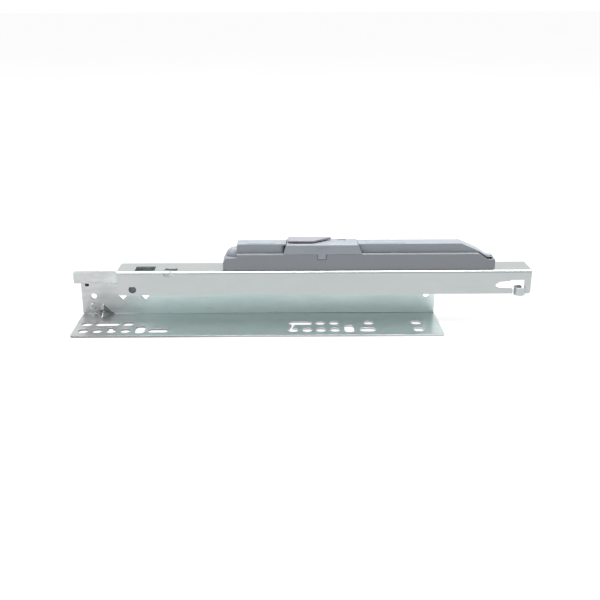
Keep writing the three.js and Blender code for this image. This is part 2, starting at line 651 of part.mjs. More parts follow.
function frontCover() {
  const [x0, x1] = [FRONT_STEP_X + SEAT_GAP, CLIP_FRONT_X - 0.4];
  const topX1 = x1 + CLIP_FRONT_LEAN - 0.2;
  const seat = UNIT_DECK + SEAT_GAP;
  const shell = coverShell(
    [[x0, seat], [x1, seat], [topX1, COVER_TOP], [x0 + 0.5, COVER_TOP], [x0, COVER_TOP - 0.8]],
    [
      [x0 + COVER_WALL, seat - PAST],
      [x1 + PAST, seat - PAST],
      [topX1 + PAST, COVER_TOP - COVER_WALL],
      [x0 + COVER_WALL, COVER_TOP - COVER_WALL],
    ],
  );
  // The front corner next to the clip is bevelled.
  const [cornerX, cornerY] = [topX1 + PAST, COVER_FACE_Y - PAST];
  const corner = outline([[cornerX - 6, cornerY], [cornerX, cornerY], [cornerX, cornerY + 4.2]]);
  const bevel = extrude(corner, 'z', seat - PAST, COVER_TOP - 1.2);
  const panel = block([-8.6, 10.2, COVER_TOP - 0.2], [13, 20.6, COVER_TOP + 0.4]);
  return part('front_cover', shell.subtract(bevel).add(panel), greyPlastic);
}

function rearCover() {
  const x0 = CLIP_REAR_X + 0.4;
  const topX0 = x0 - CLIP_REAR_LEAN + 0.2;
  const seat = UNIT_DECK + SEAT_GAP;
  const slopeX = 156.5;
  const kneeX = 170;
  const kneeZ = 56.9;
  const shell = coverShell(
    [
      [x0, seat],
      [REAR_SLOPE_X + 0.1, seat],
      [REAR_STEP_X + 0.1, REAR_STEP_Z + GAP],
      [UNIT_REAR_X - 0.8, REAR_STEP_Z + GAP],
      [UNIT_REAR_X - 0.9, REAR_STEP_Z + 0.8],
      [REAR_STEP_X + 1.6, REAR_STEP_Z + 0.9],
      [kneeX, kneeZ],
      [slopeX, COVER_TOP],
      [topX0, COVER_TOP],
    ],
    [
      [x0 - PAST, seat - PAST],
      [kneeX - 2, seat - PAST],
      [kneeX - 2, kneeZ - 0.6],
      [slopeX - 0.4, COVER_TOP - COVER_WALL],
      [topX0 - PAST, COVER_TOP - COVER_WALL],
    ],
  );
  const panel = block([84, 10.4, COVER_TOP - 0.2], [113, 20.4, COVER_TOP + 0.4]);
  const knob = block([177.2, 10, REAR_STEP_Z + 0.5], [180.9, 15, REAR_STEP_Z + 1.9]);
  return part('rear_cover', join([shell, panel, knob]).subtract(rearCorner(0)), greyPlastic);
}

/** The rounded nose between the tray's low front end and the front cover. */
function noseCap() {
  const dome = new THREE.SphereGeometry(1, 24, 16);
  dome.scale(7.8, 5, 6.4);
  dome.translate(FRONT_STEP_X - 0.8, 14.2, FRONT_STEP_Z + 0.5);
  const keep = block(
    [UNIT_FRONT_X, COVER_FACE_Y, FRONT_STEP_Z + SEAT_GAP],
    [FRONT_STEP_X, UNIT_BACK_Y, COVER_TOP],
  );
  return part('nose_cap', solid(dome).intersect(keep), greyPlastic);
}

const SLIDER_TRAVEL = 5;
const SLIDER_STEM = [[34, 12.2], [44, 14.8]];

/** The saddle in the middle of the unit, held by a snap tab in the tray's front wall. */
function centreClip() {
  const bevel = 0.8;
  const [y0, y1] = [UNIT_FACE_Y, UNIT_BACK_Y];
  const seat = UNIT_DECK + SEAT_GAP;
  const section = outline([
    [y0, seat],
    [y0 + COVER_WALL, seat],
    [y0 + COVER_WALL, CLIP_TOP - COVER_WALL],
    [y1 - COVER_WALL, CLIP_TOP - COVER_WALL],
    [y1 - COVER_WALL, seat],
    [y1, seat],
    [y1, CLIP_TOP - bevel],
    [y1 - bevel, CLIP_TOP],
    [y0 + bevel, CLIP_TOP],
    [y0, CLIP_TOP - bevel],
  ]);
  // Both ends lean inwards towards the top, and are closed in front of the springs.
  const ends = outline([
    [CLIP_FRONT_X, seat],
    [CLIP_REAR_X, seat],
    [CLIP_REAR_X - 0.4, seat + 1.5],
    [CLIP_REAR_X - CLIP_REAR_LEAN, CLIP_TOP],
    [CLIP_FRONT_X + CLIP_FRONT_LEAN, CLIP_TOP],
    [CLIP_FRONT_X + 0.4, seat + 1.5],
  ]);
  const saddle = join([
    extrude(section, 'x', CLIP_FRONT_X, CLIP_REAR_X),
    block([CLIP_FRONT_X, y0, seat], [CLIP_FRONT_X + 4, COVER_FACE_Y + 1, CLIP_TOP - bevel]),
    block([CLIP_REAR_X - 5, y0, seat], [CLIP_REAR_X, COVER_FACE_Y + 1, CLIP_TOP - bevel]),
  ]);
  const body = join([
    saddle.intersect(extrude(ends, 'y', y0, y1)),
    block([46.3, y0, 51.8], [52.3, y0 + 1, seat + 0.2]),
    block([45.2, y0 - 0.4, 61.2], [53.2, y0 + 0.4, CLIP_TOP - 0.6]),
  ]);
  const [stemLow, stemHigh] = SLIDER_STEM;
  return part(
    'centre_clip',
    cut(body, [
      block(
        [stemLow[0] - 0.4, stemLow[1] - 0.4, CLIP_TOP - 2],
        [stemHigh[0] + SLIDER_TRAVEL + 0.4, stemHigh[1] + 0.4, CLIP_TOP + 1],
      ),
      block([61.8, 14, CLIP_TOP - 0.5], [68, 19, CLIP_TOP + 1]),
    ]),
    greyPlastic,
  );
}

/** The tapered slider on the clip: a bar on a narrower base, with a foot under the clip's top. */
function adjusterSlider() {
  const base = CLIP_TOP + 0.1;
  const z0 = base + 0.9;
  const z1 = z0 + 1.3;
  const shape = new THREE.Shape();
  shape.moveTo(25.6, 7);
  shape.lineTo(42, 6.4);
  shape.lineTo(56.8, 17);
  shape.lineTo(56.4, 19);
  shape.lineTo(40, 18.2);
  shape.lineTo(26, 19.6);
  shape.quadraticCurveTo(23.2, 19, 23.2, 15);
  shape.lineTo(23.2, 10);
  shape.quadraticCurveTo(23.2, 7.2, 25.6, 7);
  const [low, high] = SLIDER_STEM;
  return part(
    'adjuster_slider',
    join([
      extrude(shape, 'z', z0, z1, 4),
      block([27, 9.5, base], [46, 16.5, z0 + 0.2]),
      block([...low, CLIP_TOP - 2.2], [...high, base + 0.2]),
      block([low[0] - 0.8, low[1] - 1.4, CLIP_TOP - 2.7], [high[0] + 0.8, high[1] + 1.4, CLIP_TOP - 1.6]),
    ]),
    palePlastic,
  );
}

function housingRivet(name, x) {
  const shank = rod('z', 1.9, WEB_UNDER + 0.2, TRAY_FLOOR + 0.6, [x, RIVET_Y], 20);
  const head = rod('z', 3.1, TRAY_FLOOR + 0.2, TRAY_FLOOR + 1.1, [x, RIVET_Y], 20);
  return part(name, shank.add(head), brightSteel);
}

// ---- Damper, springs and catch ------------------------------------------------------------

function damperParts() {
  const line = [DAMPER_Y, DAMPER_Z];
  const boreFront = DAMPER_FRONT_X + 2;
  const cylinder = cut(rod('x', DAMPER_RADIUS, DAMPER_FRONT_X, DAMPER_REAR_X, line, 28), [
    rod('x', DAMPER_BORE, boreFront, DAMPER_REAR_X + PAST, line, 28),
  ]);
  const gland = cut(
    join([
      rod('x', DAMPER_BORE - 0.2, DAMPER_REAR_X - 6, DAMPER_REAR_X + 0.5, line, 28),
      rod('x', DAMPER_RADIUS, DAMPER_REAR_X + GAP, DAMPER_REAR_X + 2.3, line, 28),
    ]),
    [rod('x', ROD_RADIUS + 0.2, DAMPER_REAR_X - 7, DAMPER_REAR_X + 3, line, 16)],
  );
  const pistonX = boreFront + 3;
  const piston = cut(rod('x', DAMPER_BORE - GAP, pistonX, pistonX + 5, line, 28), [
    rod('x', ROD_RADIUS + 0.15, pistonX - PAST, pistonX + 5 + PAST, line, 16),
  ]);
  const rodEnd = CATCH_FRONT_X - GAP;
  const pistonRod = join([
    rod('x', ROD_RADIUS, boreFront + 1, rodEnd, line, 16),
    rod('x', 2.2, rodEnd - 2.2, rodEnd, line, 20),
  ]);
  return [
    part('damper_cylinder', cylinder, aluminium),
    part('damper_gland', gland, whitePlastic),
    part('damper_piston', piston, whitePlastic),
    part('damper_rod', pistonRod, brightSteel),
  ];
}

/** The envelope of a closed-coil tension spring: its coils as a thin sleeve. */
function tensionSpring(name, y) {
  const [x0, x1] = [FRONT_PIN_X + 3.4, REAR_PIN_X - 3.4];
  const sleeve = rod('x', SPRING_RADIUS, x0, x1, [y, SPRING_Z], 16);
  const hole = rod('x', SPRING_RADIUS - 0.7, x0 - PAST, x1 + PAST, [y, SPRING_Z], 16);
  return part(name, sleeve.subtract(hole), springSteel);
}

const POST_Y = [14.1, 17];
const PIN_RADIUS = 0.9;

/** A steel pin across the unit that both springs hook onto. */
function springPin(name, x) {
  const pin = rod('y', PIN_RADIUS, SPRING_Y[0] - 1.6, SPRING_Y[1] + 1.6, [x, SPRING_Z], 14);
  return part(name, pin, brightSteel);
}

/** The bracket in the tray that holds the springs' front pin. */
function springBracket() {
  const foot = block(
    [FRONT_PIN_X - 4, TRAY_FRONT_Y + GAP, TRAY_FLOOR + GAP],
    [FRONT_PIN_X + 3, TRAY_BACK_Y - GAP, TRAY_FLOOR + 2.4],
  );
  const post = block(
    [FRONT_PIN_X - 2.6, POST_Y[0], TRAY_FLOOR + 1],
    [FRONT_PIN_X + 1.8, POST_Y[1], SPRING_Z + 2.6],
  );
  const bore = rod('y', PIN_RADIUS + 0.2, POST_Y[0] - PAST, POST_Y[1] + PAST, [FRONT_PIN_X, SPRING_Z], 14);
  return part('spring_bracket', cut(foot.add(post), [bore]), whitePlastic);
}

/** The block that the springs pull and the damper brakes; the fork sits in its pocket. */
function catchBlock() {
  const back = TRAY_BACK_Y - GAP;
  const body = block(
    [CATCH_FRONT_X, TRAY_FRONT_Y + 0.5, TRAY_FLOOR + GAP],
    [CATCH_REAR_X, back, 51.5],
  );
  const post = block([REAR_PIN_X - 2, POST_Y[0], 50], [REAR_PIN_X + 2.6, POST_Y[1], SPRING_Z + 2.6]);
  const halfWidth = FORK_WIDTH / 2 + 0.4;
  const pocket = block(
    [FORK_X - 7, FORK_Y - halfWidth, TRAY_FLOOR - PAST],
    [FORK_X + 7, FORK_Y + halfWidth, 51.5 + PAST],
  );
  const pinBore = rod('y', AXLE_BORE, 10.8, back + PAST, [FORK_X, FORK_Z], 16);
  const acrossPost = [POST_Y[0] - PAST, POST_Y[1] + PAST];
  const springBore = rod('y', PIN_RADIUS + 0.2, ...acrossPost, [REAR_PIN_X, SPRING_Z], 14);
  return part('catch_block', cut(body.add(post), [pocket, pinBore, springBore]), whitePlastic);
}

/** The fork that straddles the trigger stud and tips over to let it go. */
function catchFork() {
  const [y0, y1] = [FORK_Y - FORK_WIDTH / 2, FORK_Y + FORK_WIDTH / 2];
  const gap = FORK_REACH - 1.7;
  const arch = outline([
    [FORK_X - FORK_REACH, FORK_TIP],
    [FORK_X - gap, FORK_TIP],
    [FORK_X - gap, 43.6],
    [FORK_X + gap, 43.6],
    [FORK_X + gap, FORK_TIP],
    [FORK_X + FORK_REACH, FORK_TIP],
    [FORK_X + FORK_REACH, 46],
    [FORK_X + 3, FORK_Z],
    [FORK_X - 3, FORK_Z],
    [FORK_X - FORK_REACH, 46],
  ]);
  const hub = rod('y', 3, y0, y1, [FORK_X, FORK_Z]);
  const bore = rod('y', AXLE_BORE, y0 - PAST, y1 + PAST, [FORK_X, FORK_Z], 16);
  return part('catch_fork', extrude(arch, 'y', y0, y1).add(hub).subtract(bore), palePlastic);
}

function catchPin() {
  return part('catch_pin', rod('y', AXLE_RADIUS, 11, TRAY_BACK_Y - 0.6, [FORK_X, FORK_Z], 16), brightSteel);
}

// ---- Assembly -----------------------------------------------------------------------------

const slide = new THREE.Group();

const cabinetSide = new THREE.Group();
cabinetSide.add(
  cabinetRail(),
  triggerStud(),
  buffer('front_buffer', [-139.6, -132.6], 36.4, FRONT_PEG, SHELF_Z - 3.2),
  buffer('rear_buffer', [86, 92], CAGE_BACK_TOP, REAR_PEG, SHELF_Z + 0.2),
);

const carriage = new THREE.Group();
carriage.add(rollerCage(), ...rollersAndAxles());

const drawerSide = new THREE.Group();
drawerSide.add(
  drawerRail(),
  lockPad(),
  housingBase(),
  frontCover(),
  rearCover(),
  centreClip(),
  noseCap(),
  adjusterSlider(),
  ...RIVETS.map(([name, x]) => housingRivet(name, x)),
  springBracket(),
  springPin('front_spring_pin', FRONT_PIN_X),
  ...SPRING_Y.map((y, i) => tensionSpring(`tension_spring_${i + 1}`, y)),
  ...damperParts(),
  catchBlock(),
  springPin('rear_spring_pin', REAR_PIN_X),
  catchPin(),
  catchFork(),
);

slide.add(cabinetSide, carriage, drawerSide);

export default slide;
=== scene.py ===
"""Looks, light and camera for the concealed drawer slide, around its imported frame.

Shapes are made in millimetres in the row frame, and turned into metres when a piece is made.
"""

import json
import math

import bmesh
import bpy
from mathutils import Matrix, Vector, geometry

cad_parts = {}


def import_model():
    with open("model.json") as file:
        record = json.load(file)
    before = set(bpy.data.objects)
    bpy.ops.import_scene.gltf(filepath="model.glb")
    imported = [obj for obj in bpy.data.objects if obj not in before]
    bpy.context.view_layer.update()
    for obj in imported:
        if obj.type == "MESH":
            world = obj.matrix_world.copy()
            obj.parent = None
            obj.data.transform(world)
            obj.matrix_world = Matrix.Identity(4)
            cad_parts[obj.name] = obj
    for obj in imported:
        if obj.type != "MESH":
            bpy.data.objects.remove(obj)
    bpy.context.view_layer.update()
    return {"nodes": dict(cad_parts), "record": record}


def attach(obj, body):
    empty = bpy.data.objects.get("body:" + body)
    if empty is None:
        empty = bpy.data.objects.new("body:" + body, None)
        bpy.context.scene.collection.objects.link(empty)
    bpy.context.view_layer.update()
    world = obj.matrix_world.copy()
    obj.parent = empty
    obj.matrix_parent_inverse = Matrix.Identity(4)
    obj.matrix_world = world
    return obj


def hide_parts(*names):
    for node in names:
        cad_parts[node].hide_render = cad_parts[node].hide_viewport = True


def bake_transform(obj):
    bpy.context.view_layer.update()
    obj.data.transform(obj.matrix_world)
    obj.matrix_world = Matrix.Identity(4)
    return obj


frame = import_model()
MM = 0.001


# ---- Materials ----------------------------------------------------------------------------


def new_material(name, base, metallic, roughness):
    """A node material with a Principled shader, and a helper that adds and links nodes."""
    made = bpy.data.materials.new(name)
    made.use_nodes = True
    nodes = made.node_tree.nodes
    links = made.node_tree.links
    shader = nodes["Principled BSDF"]
    shader.inputs["Base Color"].default_value = (*base, 1)
    shader.inputs["Metallic"].default_value = metallic
    shader.inputs["Roughness"].default_value = roughness

    def add(kind, links_in=(), **values):
        node = nodes.new(kind)
        for key, value in values.items():
            if key in node.inputs:
                node.inputs[key].default_value = value
            else:
                setattr(node, key, value)
        for socket, source in links_in:
            links.new(source, node.inputs[socket])
        return node

    return made, shader, add, links


def scaled_place(add, scale):
    """Object coordinates, stretched by a scale for each axis."""
    coordinates = add("ShaderNodeTexCoord")
    mapping = add("ShaderNodeMapping", [("Vector", coordinates.outputs["Object"])])
    mapping.inputs["Scale"].default_value = scale
    return mapping.outputs["Vector"]


def noise(add, scale, stretch=(1, 1, 1), detail=3.0, rough=0.55):
    """A noise texture whose scale is in cycles per metre."""
    node = add("ShaderNodeTexNoise", [("Vector", scaled_place(add, stretch))])
    node.inputs["Scale"].default_value = scale
    node.inputs["Detail"].default_value = detail
    node.inputs["Roughness"].default_value = rough
    return node.outputs["Fac"]


def mapped(add, value, low, high, to_low, to_high):
    """A value carried from one range to another."""
    node = add("ShaderNodeMapRange", [("Value", value)])
    node.inputs["From Min"].default_value = low
    node.inputs["From Max"].default_value = high
    node.inputs["To Min"].default_value = to_low
    node.inputs["To Max"].default_value = to_high
    return node.outputs["Result"]


def mixed(add, factor, first, second):
    """A colour mixed from two, each a colour or a socket."""
    node = add("ShaderNodeMix", [("Factor", factor)], data_type="RGBA")
    sockets = [s for s in node.inputs if s.type == "RGBA"]
    for socket, value in zip(sockets, (first, second)):
        if isinstance(value, tuple):
            socket.default_value = (*value, 1)
        else:
            node.id_data.links.new(value, socket)
    return [s for s in node.outputs if s.type == "RGBA"][0]


def bumps(add, links, shader, layers):
    """Bump layers as (height, strength, distance in metres)."""
    normal = None
    for height, strength, distance in layers:
        node = add("ShaderNodeBump", [("Height", height)])
        node.inputs["Strength"].default_value = strength
        node.inputs["Distance"].default_value = distance
        if normal is not None:
            links.new(normal, node.inputs["Normal"])
        normal = node.outputs["Normal"]
    links.new(normal, shader.inputs["Normal"])


def along(add, low, high):
    """0 where the object's X in metres is low, and 1 where it is high."""
    coordinates = add("ShaderNodeTexCoord")
    place = add("ShaderNodeSeparateXYZ", [("Vector", coordinates.outputs["Object"])])
    node = add("ShaderNodeMapRange", [("Value", place.outputs["X"])], interpolation_type="SMOOTHSTEP")
    node.inputs["From Min"].default_value = low
    node.inputs["From Max"].default_value = high
    return node.outputs["Result"]


FACE_METALLIC = 0.96
CUT_METALLIC = 0.35


def zinc(name, tint, dark, roughness, lit_front_and_scuff, cuts):
    """Zinc-plated sheet: drifting tint, rolling grain along the rail, and duller punched edges.

    Near the front end the colour turns to a plain grey, painted light standing in for the light that falls
    on that end; a lighter copy of that grey colours the scuffs. The cuts are the colours of punched edges
    at the front, in the middle and at the rear.
    """
    made, shader, add, links = new_material(name, tint, FACE_METALLIC, roughness)
    drift = mapped(add, noise(add, 22, (0.45, 1.3, 1.3), 3), 0.35, 0.65, 0, 1)
    cloud = mapped(add, noise(add, 240, (0.4, 1, 1), 3), 0.4, 0.7, 0, 0.35)
    grain = noise(add, 1500, (0.06, 1, 1), 2)
    scuffs = mapped(add, noise(add, 420, (0.12, 1, 1), 5, 0.7), 0.66, 0.74, 0, 0.3)
    colour = mixed(add, drift, tint, dark)
    # Painted light: a plain grey near the front end, standing in for the light that falls on that end.
    colour = mixed(add, along(add, -0.128, -0.078), lit_front_and_scuff, colour)
    colour = mixed(add, cloud, colour, tuple(min(1, c * 1.06) for c in tint))
    colour = mixed(add, scuffs, colour, tuple(min(1, c * 1.12) for c in lit_front_and_scuff))
    cut = mixed(add, along(add, -0.08, 0.0), cuts[0], cuts[1])
    cut = mixed(add, along(add, 0.06, 0.11), cut, cuts[2])
    edge = add("ShaderNodeAttribute", attribute_name="cut")
    colour = mixed(add, edge.outputs["Fac"], colour, cut)
    links.new(colour, shader.inputs["Base Color"])
    metallic = mapped(add, edge.outputs["Fac"], 0, 1, FACE_METALLIC, CUT_METALLIC)
    links.new(metallic, shader.inputs["Metallic"])
    rough = mapped(add, grain, 0.3, 0.7, roughness - 0.04, roughness + 0.05)
    worn = add("ShaderNodeMath", [(0, rough), (1, mapped(add, scuffs, 0, 0.3, 0, 0.07))], operation="ADD")
    links.new(worn.outputs[0], shader.inputs["Roughness"])
    bumps(add, links, shader, [(grain, 0.03, 0.00002), (noise(add, 90, (0.5, 1, 1), 2), 0.02, 0.0002)])
    return made


def plastic(name, base, shade, roughness, texture=2600):
    """Moulded plastic: a fine eroded texture with slight flow clouds and rubbed spots."""
    made, shader, add, links = new_material(name, base, 0, roughness)
    cloud = mapped(add, noise(add, 55, (0.6, 1, 1), 4), 0.35, 0.65, 0, 1)
    speck = mapped(add, noise(add, 900, (1, 1, 1), 3), 0.35, 0.7, 0, 0.5)
    colour = mixed(add, cloud, base, shade)
    colour = mixed(add, speck, colour, tuple(min(1, c * 1.09) for c in base))
    links.new(colour, shader.inputs["Base Color"])
    rubbed = noise(add, 150, (0.7, 1, 1), 4)
    links.new(mapped(add, rubbed, 0.3, 0.7, roughness + 0.06, roughness - 0.06), shader.inputs["Roughness"])
    shader.inputs["Specular IOR Level"].default_value = 0.45
    bumps(add, links, shader, [(noise(add, texture, (1, 1, 1), 2), 0.25, 0.00005)])
    return made


def turned_metal(name, base, roughness, stretch):
    """Bright metal with fine lines."""
    made, shader, add, links = new_material(name, base, 1, roughness)
    lines = noise(add, 2200, stretch, 3)
    cloud = mapped(add, noise(add, 140, (1, 1, 1), 3), 0.35, 0.65, 0, 1)
    links.new(mixed(add, cloud, base, tuple(c * 0.86 for c in base)), shader.inputs["Base Color"])
    links.new(mapped(add, lines, 0.3, 0.7, roughness - 0.07, roughness + 0.09), shader.inputs["Roughness"])
    bumps(add, links, shader, [(lines, 0.15, 0.00003)])
    return made


ZINC_RAIL = zinc(
    "zinc_rail",
    tint=(0.62, 0.71, 0.70),
    dark=(0.59, 0.685, 0.68),
    roughness=0.31,
    lit_front_and_scuff=(0.46, 0.465, 0.47),
    cuts=((0.22, 0.20, 0.21), (0.36, 0.345, 0.355), (0.42, 0.41, 0.42)),
)
ZINC_CHANNEL = zinc(
    "zinc_channel",
    tint=(0.44, 0.465, 0.465),
    dark=(0.425, 0.455, 0.45),
    roughness=0.36,
    lit_front_and_scuff=(0.475, 0.48, 0.485),
    cuts=((0.30, 0.32, 0.32), (0.34, 0.35, 0.36), (0.38, 0.39, 0.40)),
)
GREY_PLASTIC = plastic("grey_plastic", (0.15, 0.162, 0.176), (0.152, 0.165, 0.181), 0.5)
COVER_PLASTIC = plastic("cover_plastic", (0.195, 0.215, 0.235), (0.181, 0.199, 0.22), 0.46)
PALE_PLASTIC = plastic("pale_plastic", (0.195, 0.188, 0.215), (0.18, 0.172, 0.20), 0.45)
WHITE_PLASTIC = plastic("white_plastic", (0.78, 0.78, 0.74), (0.71, 0.71, 0.67), 0.4, 1800)
DARK_PLASTIC = plastic("dark_plastic", (0.095, 0.118, 0.112), (0.07, 0.085, 0.08), 0.55, 2000)
RUBBER = plastic("rubber", (0.018, 0.019, 0.02), (0.026, 0.026, 0.027), 0.78, 1400)
BRIGHT_STEEL = turned_metal("bright_steel", (0.62, 0.63, 0.65), 0.28, (1, 1, 0.1))
SPRING_STEEL = turned_metal("spring_steel", (0.40, 0.41, 0.43), 0.34, (1, 1, 1))
ALUMINIUM = turned_metal("aluminium", (0.66, 0.68, 0.70), 0.32, (0.08, 1, 1))


# ---- Mesh tools ---------------------------------------------------------------------------


def flat_loop(points):
    """A closed list of 2D points without repeats."""
    loop = []
    for point in points:
        point = Vector(point)
        if not loop or (point - loop[-1]).length > 1e-5:
            loop.append(point)
    if (loop[0] - loop[-1]).length < 1e-5:
        loop.pop()
    return loop


def area(loop):
    """The signed area inside a loop, positive when it runs counterclockwise."""
    return sum(a.cross(b) for a, b in zip(loop, loop[1:] + loop[:1])) / 2


def rounded(points, radii, steps=5):
    """A closed polygon with round corners; radii is one radius, or one for each corner."""
    corners = [Vector(p) for p in points]
    count = len(corners)
    if isinstance(radii, (int, float)):
        radii = [radii] * count
    loop = []
    for i, corner in enumerate(corners):
        before = corner - corners[i - 1]
        after = corners[(i + 1) % count] - corner
        room = 0.499 * min(before.length, after.length)
        into, out = before.normalized(), after.normalized()
        turn = math.atan2(into.cross(out), into.dot(out))
        reach = radii[i] * math.tan(abs(turn) / 2)
        if reach < 1e-4:
            loop.append(corner)
            continue
        radius = radii[i] * min(1, room / reach)
        reach = min(reach, room)
        side = 1 if turn > 0 else -1
        normal = Vector((-into.y, into.x)) * side
        centre = corner - into * reach + normal * radius
        for k in range(steps + 1):
            loop.append(centre - Matrix.Rotation(turn * k / steps, 2) @ normal * radius)
    return flat_loop(loop)


def rectangle(u, v, width, height, radius, steps=5):
    """A round-cornered rectangle from its centre."""
    a, b = width / 2, height / 2
    return rounded([(u - a, v - b), (u + a, v - b), (u + a, v + b), (u - a, v + b)], radius, steps)


def circle(u, v, radius, steps=28):
    """A round loop."""
    turns = [2 * math.pi * k / steps for k in range(steps)]
    return [Vector((u + radius * math.cos(t), v + radius * math.sin(t))) for t in turns]


def rounded_d(u, v, radius, flat, steps=26):
    """A round loop whose upper side is cut flat, flat being how far the cut is from the centre."""
    limit = math.asin(flat / radius)
    start, sweep = math.pi - limit, math.pi + 2 * limit
    turns = [start + sweep * k / steps for k in range(steps + 1)]
    return flat_loop([(u + radius * math.cos(t), v + radius * math.sin(t)) for t in turns])


def inset(loop, distance):
    """A loop moved to its left."""
    moved = []
    for i, point in enumerate(loop):
        before = (point - loop[i - 1]).normalized()
        after = (loop[(i + 1) % len(loop)] - point).normalized()
        first = Vector((-before.y, before.x))
        second = Vector((-after.y, after.x))
        moved.append(point + (first + second) * (distance / (1 + first.dot(second))))
    return moved


def holds(loop, point):
    """True if a point is inside a loop."""
    inside = False
    for a, b in zip(loop, loop[1:] + loop[:1]):
        if (a.y > point.y) != (b.y > point.y):
            if point.x < a.x + (point.y - a.y) * (b.x - a.x) / (b.y - a.y):
                inside = not inside
    return inside


def triangles(points, edges):
    """The constrained triangulation of 2D points.

    Gives the new points, the triangles, and for each new point the first old one, or None.
    """
    made = geometry.delaunay_2d_cdt(points, edges, [], 0, 1e-6)
    return made[0], made[2], [min(old) if old else None for old in made[3]]


def united(loops):
    """The outline around overlapping loops."""
    points, edges = [], []
    for loop in loops:
        first = len(points)
        points += loop
        edges += [(first + i, first + (i + 1) % len(loop)) for i in range(len(loop))]
    points, faces, _ = triangles(points, edges)
    sides = {}
    for face in faces:
        middle = sum((points[i] for i in face), Vector((0, 0))) / len(face)
        if any(holds(loop, middle) for loop in loops):
            for i in range(len(face)):
                a, b = face[i], face[(i + 1) % len(face)]
                if (b, a) in sides:
                    del sides[(b, a)]
                else:
                    sides[(a, b)] = True
    following = {a: b for a, b in sides}
    start = next(iter(following))
    loop, at = [points[start]], following[start]
    while at != start:
        loop.append(points[at])
        at = following[at]
    return flat_loop(loop)


def turned_to(loop, sign):
    """A loop that runs counterclockwise for sign 1 and clockwise for -1."""
    return loop if area(loop) * sign > 0 else loop[::-1]


EDGE_STEPS = 3  # of the quarter round on each side of a plate's edges


def plate_mesh(bm, outer, holes, thickness, place, lines, extra, edge):
    """Adds a plate to a bmesh, with its edges rounded by the radius edge.

    The plate is drawn flat in (u, v), and place(u, v, n) says where each of its points goes.
    lines are the values of v where it bends, and extra are points inside it that carry relief.
    The float layer "cut" is 1 on the middle of the edges and 0 on the faces.
    """
    layer = bm.verts.layers.float.get("cut") or bm.verts.layers.float.new("cut")
    outer = turned_to(outer, 1)
    for line in lines:
        split = []
        for a, b in zip(outer, outer[1:] + outer[:1]):
            split.append(a)
            if (a.y - line) * (b.y - line) < 0 and min(abs(a.y - line), abs(b.y - line)) > 1e-4:
                split.append(a + (b - a) * ((line - a.y) / (b.y - a.y)))
        outer = split
    loops = [outer] + [turned_to(hole, -1) for hole in holes]
    half = thickness / 2
    turns = [math.pi / 2 * k / EDGE_STEPS for k in range(EDGE_STEPS + 1)]
    rings = [(edge * (1 - math.sin(t)), half - edge * (1 - math.cos(t)), math.sin(t)) for t in turns]
    rings += [(shift, -height, cut) for shift, height, cut in reversed(rings)]
    ring_verts = []
    points, edges = [], []
    for loop in loops:
        levels = []
        for shift, height, cut in rings:
            level = []
            for point in inset(loop, shift):
                vert = bm.verts.new(place(point.x, point.y, height))
                vert[layer] = cut
                level.append(vert)
            levels.append(level)
        ring_verts.append(levels)
        first = len(points)
        points += inset(loop, edge)
        edges += [(first + i, first + (i + 1) % len(loop)) for i in range(len(loop))]
        for upper, lower in zip(levels, levels[1:]):
            for i in range(len(loop)):
                k = (i + 1) % len(loop)
                bm.faces.new((upper[i], lower[i], lower[k], upper[k]))
    rim_count = len(points)
    flat = [(levels[0][i], levels[-1][i]) for levels in ring_verts for i in range(len(levels[0]))]
    for line in lines:
        ends = [i for i, point in enumerate(outer) if abs(point.y - line) < 1e-4]
        if len(ends) >= 2:
            ends.sort(key=lambda i: points[i].x)
            edges.append((ends[0], ends[-1]))
    points += [Vector(p) for p in extra]
    inner_loops = [inset(loop, edge) for loop in loops]
    made, faces, old = triangles(points, edges)
    pairs = []
    for point, source in zip(made, old):
        if source is not None and source < rim_count:
            pairs.append(flat[source])
        else:
            pairs.append(tuple(bm.verts.new(place(point.x, point.y, n)) for n in (half, -half)))
    for face in faces:
        middle = sum((made[i] for i in face), Vector((0, 0))) / len(face)
        if not holds(inner_loops[0], middle) or any(holds(h, middle) for h in inner_loops[1:]):
            continue
        bm.faces.new([pairs[i][0] for i in face])
        bm.faces.new([pairs[i][1] for i in reversed(face)])
    for pair in pairs:
        for vert in pair:
            if not vert.link_faces:
                bm.verts.remove(vert)


def make_piece(name, bm, material, body, nodes):
    """Turns a bmesh in millimetres into a piece that stands for CAD nodes.

    It rides on a body, or on none yet if body is None.
    """
    bmesh.ops.scale(bm, vec=(MM,) * 3, verts=bm.verts)
    for face in bm.faces:
        face.smooth = True
    mesh = bpy.data.meshes.new(name)
    bm.to_mesh(mesh)
    bm.free()
    made = bpy.data.objects.new(name, mesh)
    bpy.context.scene.collection.objects.link(made)
    mesh.materials.append(material)
    weighted = made.modifiers.new("weighted_normals", "WEIGHTED_NORMAL")
    weighted.keep_sharp = True
    weighted.weight = 80
    if body:
        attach(made, body)
    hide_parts(*nodes)
    return made


SHARP = math.radians(24)  # an edge that turns by more than this gets rounded
FLAT = math.radians(0.6)  # faces that differ by less than this are one


def softened(name, node, material, body, width):
    """A copy of a CAD node's shape with its edges rounded."""
    bm = bmesh.new()
    bm.from_mesh(frame["nodes"][node].data)
    bmesh.ops.scale(bm, vec=(1 / MM,) * 3, verts=bm.verts)
    bmesh.ops.remove_doubles(bm, verts=bm.verts, dist=2e-3)
    bmesh.ops.dissolve_limit(bm, angle_limit=FLAT, verts=bm.verts, edges=bm.edges)
    sharp = [e for e in bm.edges if len(e.link_faces) == 2 and e.calc_face_angle(0) > SHARP]
    bmesh.ops.bevel(
        bm,
        geom=sharp,
        offset=width,
        offset_type="OFFSET",
        segments=2,
        profile=0.5,
        affect="EDGES",
        clamp_overlap=True,
        miter_outer="ARC",
    )
    bmesh.ops.triangulate(bm, faces=[f for f in bm.faces if len(f.verts) > 4])
    return make_piece(name, bm, material, body, [node])


# ---- Bent sheets --------------------------------------------------------------------------


BEND_STEPS = 7


